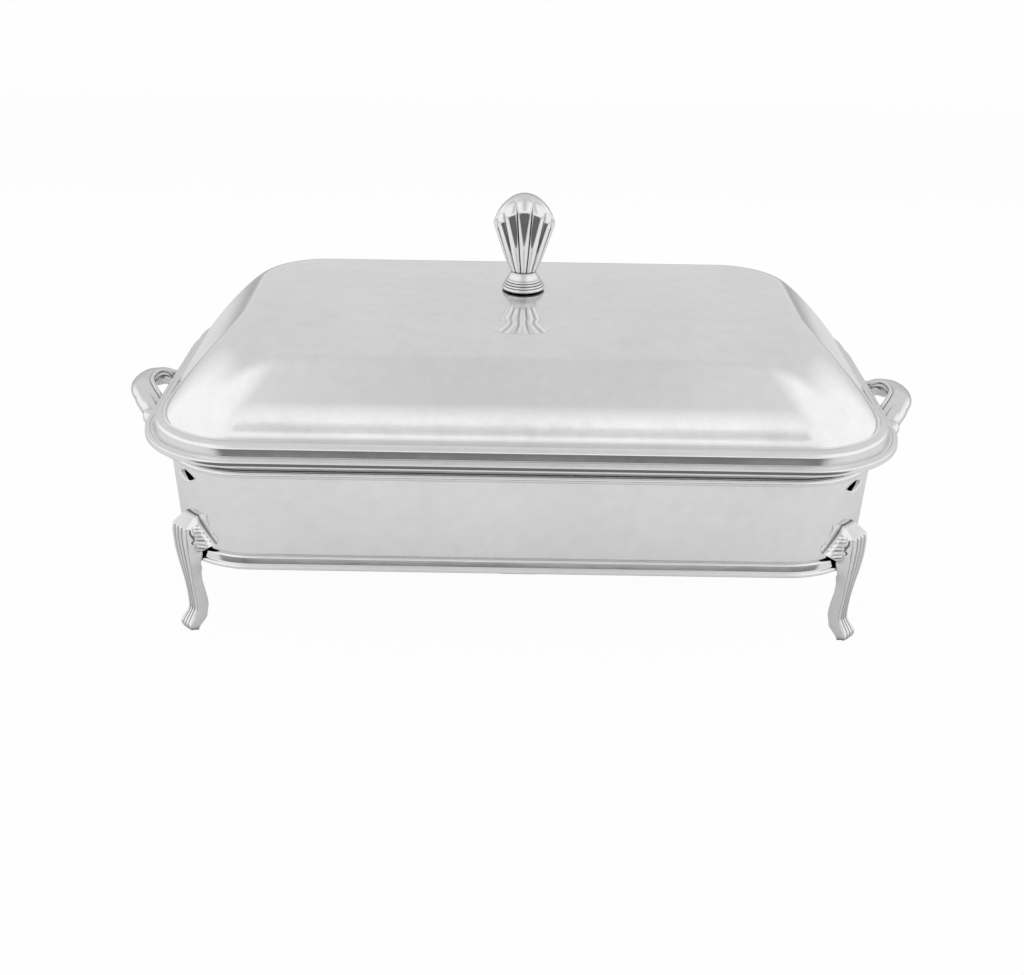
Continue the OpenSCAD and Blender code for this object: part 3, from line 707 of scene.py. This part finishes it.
def make_feet():
    """Four feet; the ribs are spaced by the length run along the edge of the knee."""
    steps = 190
    levels = [CREST_Z * i / steps for i in range(steps + 1)]
    along, run = [], 0
    for i, z in enumerate(levels):
        if i:
            run += math.hypot(z - levels[i - 1], foot_half(z) - foot_half(levels[i - 1]))
        along.append(run)
    for sx, sy in CORNERS:
        side, end = side_names(sx, sy)
        name = f"{end}_{side}_foot"
        centre, angle = corner_frame(sx, sy, 0)
        turn = Matrix.Translation(centre) @ Matrix.Rotation(angle, 4, "Z")
        bm = bmesh.new()
        add_rings(bm, [[turn @ p for p in foot_ring(z, a)] for z, a in zip(levels, along)],
                  cap_start=True, cap_end=True)
        place(finish_mesh(bm, name + "_skin", cast_silver), "stand", [name])


# ---- Handles ----

HANDLE_LO, HANDLE_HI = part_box("right_handle")
HANDLE_Z = WALL_TOP - 10 * MM
BAND_THICK = 4.2 * MM
BAND_SLOPE = 0.16
TIP_HALF, ARM_HALF = 6.5 * MM, 5.0 * MM
HANDLE_REACH = HANDLE_HI.x - BX - TIP_HALF
HANDLE_HALF_Y = (HANDLE_HI.y - HANDLE_LO.y) / 2
HANDLE_LIFT = HANDLE_HI.z - HANDLE_Z - BAND_THICK - BAND_SLOPE * TIP_HALF
ARM_LEVEL = 0.12
ARM_SINK = 0.8 * MM
BAND_SPREAD = HANDLE_HALF_Y - 17.5 * MM
LIP_STEPS, RIB_STEPS = 70, 40


def loop_point(turn, reach, spread, push=0, drop=0):
    """Point on a handle's loop: level at the arms, then a quick rise to the tip's height."""
    out = max(math.cos(turn), 0)
    rise = max(0, (out - ARM_LEVEL) / (1 - ARM_LEVEL))
    return Vector((BX - ARM_SINK + reach * out ** 0.75 + push * out, (spread + push) * math.sin(turn),
                   HANDLE_Z + HANDLE_LIFT * (1 - (1 - rise) ** 2) - drop))


def band_half(turn):
    """Half width of the band, which broadens from the arms to the tip."""
    return ARM_HALF + (TIP_HALF - ARM_HALF) * max(math.cos(turn), 0) ** 0.8


def band_ring(turn):
    """Section of the broad inner band of the loop."""
    sides = 44
    half = band_half(turn)
    centre = loop_point(turn, HANDLE_REACH, BAND_SPREAD)
    ring = []
    for j in range(sides):
        a = 2 * math.pi * j / sides
        c, s = math.cos(a), math.sin(a)
        wide = half * math.copysign(abs(c) ** 0.8, c)
        high = BAND_THICK * math.copysign(abs(s) ** 0.9, s) - BAND_SLOPE * wide
        ring.append(centre + Vector((wide * math.cos(turn), wide * math.sin(turn), high)))
    return ring


def make_handles():
    steps = 110
    for name, mirror in (("left_handle", -1), ("right_handle", 1)):
        flip = Matrix.Scale(mirror, 4, (1, 0, 0))
        bm = bmesh.new()
        turns = [math.radians(-90 + 180 * i / steps) for i in range(steps + 1)]
        add_rings(bm, [[flip @ p for p in band_ring(t)] for t in turns], cap_start=True, cap_end=True)
        # Raised lip round the finger hole
        lip = []
        for i in range(LIP_STEPS + 1):
            turn = math.radians(-86 + 172 * i / LIP_STEPS)
            half = band_half(turn)
            p = loop_point(turn, HANDLE_REACH, BAND_SPREAD, -0.8 * half)
            lip.append(flip @ (p + Vector((0, 0, BAND_THICK * 0.72 + BAND_SLOPE * half))))
        tube(bm, lip, [1.2 * MM] * len(lip))
        # Two ribs cascade down the outer flank of each arm
        for end in (-1, 1):
            for first, from_edge, reach, drop, size in (
                    (17, 10.5, -0.5, 2.2, 4.9), (42, 4.4, -2.5, 4.4, 4.2)):
                centres, radii = [], []
                for i in range(RIB_STEPS + 1):
                    t = i / RIB_STEPS
                    turn = end * math.radians(first + (90 - first) * t)
                    c = loop_point(turn, HANDLE_REACH + reach * MM, HANDLE_HALF_Y - from_edge * MM,
                                   0, drop * MM)
                    centres.append(flip @ c)
                    bulb = math.sqrt(1 - (1 - min(t / 0.2, 1)) ** 2) if t < 0.2 else 1 - 0.3 * (t - 0.2)
                    radii.append(size * MM * max(bulb, 0.12))
                tube(bm, centres, radii, 24)
        place(finish_mesh(bm, name + "_skin", cast_silver), "stand", [name])


# ---- Knob ----

def make_collar():
    z = collar_lo.z
    wide = (collar_hi.x - collar_lo.x) / 2
    profile = [
        (0.84, 0, 0), (0.95, 0.3, 0.5), (1.0, 1.2, 0.8), (0.97, 2.2, 0.5), (0.91, 2.5, 0.12),
        (0.945, 3.0, 0.5), (0.91, 3.6, 0.4), (0.85, 3.75, 0.12), (0.885, 4.2, 0.5), (0.85, 4.8, 0.4),
        (0.79, 4.95, 0.12), (0.82, 5.4, 0.5), (0.78, 6.0, 0.4), (0.72, 6.2, 0.15), (0.70, 6.8, 0.6),
        (0.62, 8.6, 0.8), (0.585, 9.3, 0.4), (0.62, 10.0, 0.2), (0.3, 10.0, 0)]
    path = rounded_path([(r * wide, z + h * MM, f * MM) for r, h, f in profile])
    sides = 96
    bm = bmesh.new()
    rings = [[Vector((p.x * math.cos(2 * math.pi * j / sides), p.x * math.sin(2 * math.pi * j / sides), p.y))
              for j in range(sides)] for p in path]
    add_rings(bm, rings, cap_start=True, cap_end=True)
    place(finish_mesh(bm, "knob_collar_skin", cast_silver), "lid", ["knob_collar"])


KNOB_W = (knob_hi.x - knob_lo.x) / 2
NECK_HALF = 7.5 * MM
KNOB_H = knob_hi.z - collar_hi.z
FAN_RISE = 15 * MM
FAN_ANGLE = math.atan((KNOB_W - NECK_HALF) / (KNOB_H - FAN_RISE))
FAN_ORIGIN = NECK_HALF / math.tan(FAN_ANGLE)
FAN_SIDE = math.hypot(KNOB_W, KNOB_H - FAN_RISE + FAN_ORIGIN)
FAN_TIP = KNOB_H + FAN_ORIGIN
FLUTES = 7


def make_knob():
    """Scallop-shell fan: seven convex flutes a side, each ending in an arch under a smooth cap."""
    steps_out, around = 130, 336
    bm = bmesh.new()
    rings = []
    for i in range(steps_out + 1):
        out = (i / steps_out) ** 0.85
        ring = []
        for j in range(around):
            turn = 2 * math.pi * j / around
            u = math.cos(turn)
            a = FAN_ANGLE * u
            lobe = abs(math.sin(FLUTES * turn)) ** 0.7
            arch = 0.935 + 0.04 * lobe - 0.02 * u * u
            fluted = min(1, max(0, 1 - (out - arch) / 0.008))
            neck = FAN_ORIGIN / math.cos(a)
            tip = FAN_SIDE + (FAN_TIP - FAN_SIDE) * math.cos(math.pi / 2 * u) ** 0.9
            ray = neck + (tip - neck) * out
            swell = math.sin(math.pi / 2 * min(1, out / 0.8))
            depth = MM * (6.2 + 2.8 * swell - 5.6 * max(0, (out - 0.8) / 0.2) ** 2.2)
            groove = 0.15 * (1 - lobe) * min(1, out / 0.08 + 0.5)
            y = depth * math.sin(turn) * (1 - groove * fluted - 0.16 * (1 - fluted))
            side = (1 - 0.045 * (1 - lobe) * fluted - 0.02 * (1 - fluted)) * (0.93 + 0.07 * min(1, out / 0.2))
            ring.append(Vector((ray * math.sin(a) * side, y, collar_hi.z - FAN_ORIGIN + ray * math.cos(a))))
        rings.append(ring)
    made = add_rings(bm, rings, cap_start=True)
    # Closes the top from front to back
    last, n = made[-1], around
    for j in range(n // 2):
        corners = [last[j], last[j + 1], last[n - j - 1], last[(n - j) % n]]
        bm.faces.new(list(dict.fromkeys(corners)))
    place(finish_mesh(bm, "knob_skin", cast_silver, math.radians(50)), "lid", ["knob"])


# ---- Pans ----

def make_pan(node, body):
    lo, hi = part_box(node)
    half_x, half_y = half_sizes(node)
    corner = corner_radius(node)
    t = 1.0 * MM
    wall_in = 2.8 * MM if node == "water_pan" else 5.2 * MM
    base_in = 8.8 * MM if node == "water_pan" else 11.5 * MM
    # The inner wall rises straight for the last sheet's thickness, as in the frame
    outer = [(0, hi.z, 0.4), (0, hi.z - t, 0.4), (-wall_in, hi.z - t, 0.8), (-base_in, lo.z, 4)]
    slope = (base_in - wall_in) / (hi.z - t - lo.z)
    inner = [(-base_in - t + t * slope, lo.z + t, 3.5), (-wall_in - t, hi.z - t, 0.2),
             (-wall_in - t, hi.z, 0.4)]
    flat_in = base_in + 12 * MM
    section = [(-flat_in, lo.z, 0)] + outer[::-1] + inner[::-1] + [(-flat_in, lo.z + t, 0)]
    path = rounded_path([(x, z, r * MM) for x, z, r in section], 8)
    bm = bmesh.new()
    rings = [plan(half_x + p.x, half_y + p.x, corner + p.x, p.y) for p in path]
    add_rings(bm, rings, cap_start=True, cap_end=True)
    place(finish_mesh(bm, node + "_skin", steel), body, [node])


# ---- Parts kept as they are in the frame ----

def paint_frame_parts():
    paint("lid_bezel", trim_silver)
    for node in ("handle_screws", "foot_screws", "left_tray_rail", "right_tray_rail", "rail_rivets",
                 "burner_tray", "left_snuffer_pivot", "right_snuffer_pivot", "knob_stud", "knob_washer",
                 "knob_nut"):
        paint(node, steel)
    for node in ("left_burner_cup", "right_burner_cup", "left_snuffer", "right_snuffer"):
        paint(node, brass)
    for node in ("left_burner_wick", "right_burner_wick"):
        paint(node, fibre)


def paint(node, material):
    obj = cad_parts[node]
    obj.data.materials.clear()
    obj.data.materials.append(material)
    bevel = obj.modifiers.new("soft_edges", "BEVEL")
    bevel.width = 0.25 * MM
    bevel.segments = 2
    bevel.limit_method = "ANGLE"
    bevel.angle_limit = math.radians(50)


# ---- Studio ----

DARK_FROM, DARK_TO, DARK_HALF = 0.34, 1.15, 0.5
REAR_DARK_FROM, REAR_DARK_TO, REAR_DARK = 0.6, 1.6, 0.55
NEAR_FADE, SIDE_FADE, FAR_FADE = 0.04, 0.12, 0.3
PALE_FLOOR, DARK_FLOOR = (0.93, 0.93, 0.93), (0.14, 0.14, 0.14)
LENS_MM, SENSOR_MM = 47.84, 36
CAMERA_AT = (-4.2 * MM, -685.85 * MM, 381.9 * MM)
CAMERA_TILT, CAMERA_ROLL = math.radians(63.66), math.radians(0.92)


def make_floor():
    bpy.ops.mesh.primitive_plane_add(size=6, location=(0, 0, 0))
    floor = bpy.context.object
    floor.name = "studio_floor"
    material, nodes, links, shader = node_material("studio_floor")
    shader.inputs["Roughness"].default_value = 0.9
    # A dark strip in front of the dish is hidden from the camera and shows only in reflections
    place_on = nodes.new("ShaderNodeNewGeometry").outputs["Position"]
    split = nodes.new("ShaderNodeSeparateXYZ")
    links.new(place_on, split.inputs["Vector"])
    across = math_node(nodes, links, "ABSOLUTE", split.outputs["X"])
    near = ramp(nodes, links, split.outputs["Y"], -DARK_FROM - NEAR_FADE, -DARK_FROM, 1, 0)
    far = ramp(nodes, links, split.outputs["Y"], -DARK_TO - FAR_FADE, -DARK_TO, 0, 1)
    wide = ramp(nodes, links, across, DARK_HALF, DARK_HALF + SIDE_FADE, 1, 0)
    front = math_node(nodes, links, "MULTIPLY", math_node(nodes, links, "MULTIPLY", near, far), wide)
    # A second dark strip behind the dish draws the thin dark outlines of the polished parts
    start = ramp(nodes, links, split.outputs["Y"], REAR_DARK_FROM, REAR_DARK_FROM + FAR_FADE, 0, REAR_DARK)
    end = ramp(nodes, links, split.outputs["Y"], REAR_DARK_TO - FAR_FADE, REAR_DARK_TO, 1, 0)
    behind = math_node(nodes, links, "MULTIPLY", start, end)
    dark = math_node(nodes, links, "MAXIMUM", front, behind)
    links.new(mix_colour(nodes, links, dark, PALE_FLOOR, DARK_FLOOR), shader.inputs["Base Color"])
    glow = nodes.new("ShaderNodeEmission")
    glow.inputs["Color"].default_value = (1, 1, 1, 1)
    glow.inputs["Strength"].default_value = 1.0
    path = nodes.new("ShaderNodeLightPath")
    mix = nodes.new("ShaderNodeMixShader")
    share = math_node(nodes, links, "MULTIPLY", path.outputs["Is Camera Ray"], 0.97)
    links.new(share, mix.inputs["Fac"])
    links.new(shader.outputs["BSDF"], mix.inputs[1])
    links.new(glow.outputs["Emission"], mix.inputs[2])
    links.new(mix.outputs["Shader"], nodes["Material Output"].inputs["Surface"])
    floor.data.materials.append(material)


def make_world():
    """Soft white studio, grey behind, with a grey panel in front and overhead.

    The camera sees plain white; the greys show only in reflections.
    """
    world = bpy.data.worlds.new("studio")
    bpy.context.scene.world = world
    world.use_nodes = True
    nodes, links = world.node_tree.nodes, world.node_tree.links
    background = nodes["Background"]
    direction = nodes.new("ShaderNodeTexCoord").outputs["Generated"]
    split = nodes.new("ShaderNodeSeparateXYZ")
    links.new(direction, split.inputs["Vector"])
    x, y, z = split.outputs["X"], split.outputs["Y"], split.outputs["Z"]
    across = math_node(nodes, links, "ABSOLUTE", x)

    def smooth(value, low, high):
        return ramp(nodes, links, value, low, high, 0, 1)

    def times(a, b):
        return math_node(nodes, links, "MULTIPLY", a, b)

    def less(a):
        return math_node(nodes, links, "SUBTRACT", 1, a)

    rear = times(smooth(y, -0.25, 0.05), less(smooth(across, 0.62, 0.86)))
    light = mix_colour(nodes, links, rear, (1.0, 1.0, 1.0), (0.70, 0.70, 0.705))
    panel = times(less(smooth(across, 0.10, 0.55)), times(smooth(z, 0.0, 0.3), less(smooth(y, 0.0, 0.1))))
    final = mix_colour(nodes, links, panel, light, (0.66, 0.66, 0.665))
    camera_ray = nodes.new("ShaderNodeLightPath").outputs["Is Camera Ray"]
    links.new(mix_colour(nodes, links, camera_ray, final, (1.0, 1.0, 1.0)), background.inputs["Color"])
    background.inputs["Strength"].default_value = 1.0


def make_camera():
    data = bpy.data.cameras.new("camera")
    data.sensor_width = SENSOR_MM
    data.lens = LENS_MM
    camera = bpy.data.objects.new("camera", data)
    camera.location = CAMERA_AT
    turn = Matrix.Rotation(CAMERA_TILT, 3, "X") @ Matrix.Rotation(CAMERA_ROLL, 3, "Z")
    camera.rotation_euler = turn.to_euler()
    bpy.context.scene.collection.objects.link(camera)
    bpy.context.scene.camera = camera


make_dome()
make_rim()
make_wall()
make_vent_lips()
make_body_floor()
make_bead()
make_moulding()
make_feet()
make_handles()
make_collar()
make_knob()
make_pan("water_pan", "water_pan")
make_pan("food_pan", "food_pan")
paint_frame_parts()
make_floor()
make_world()
make_camera()
bpy.context.scene.view_settings.view_transform = "Standard"
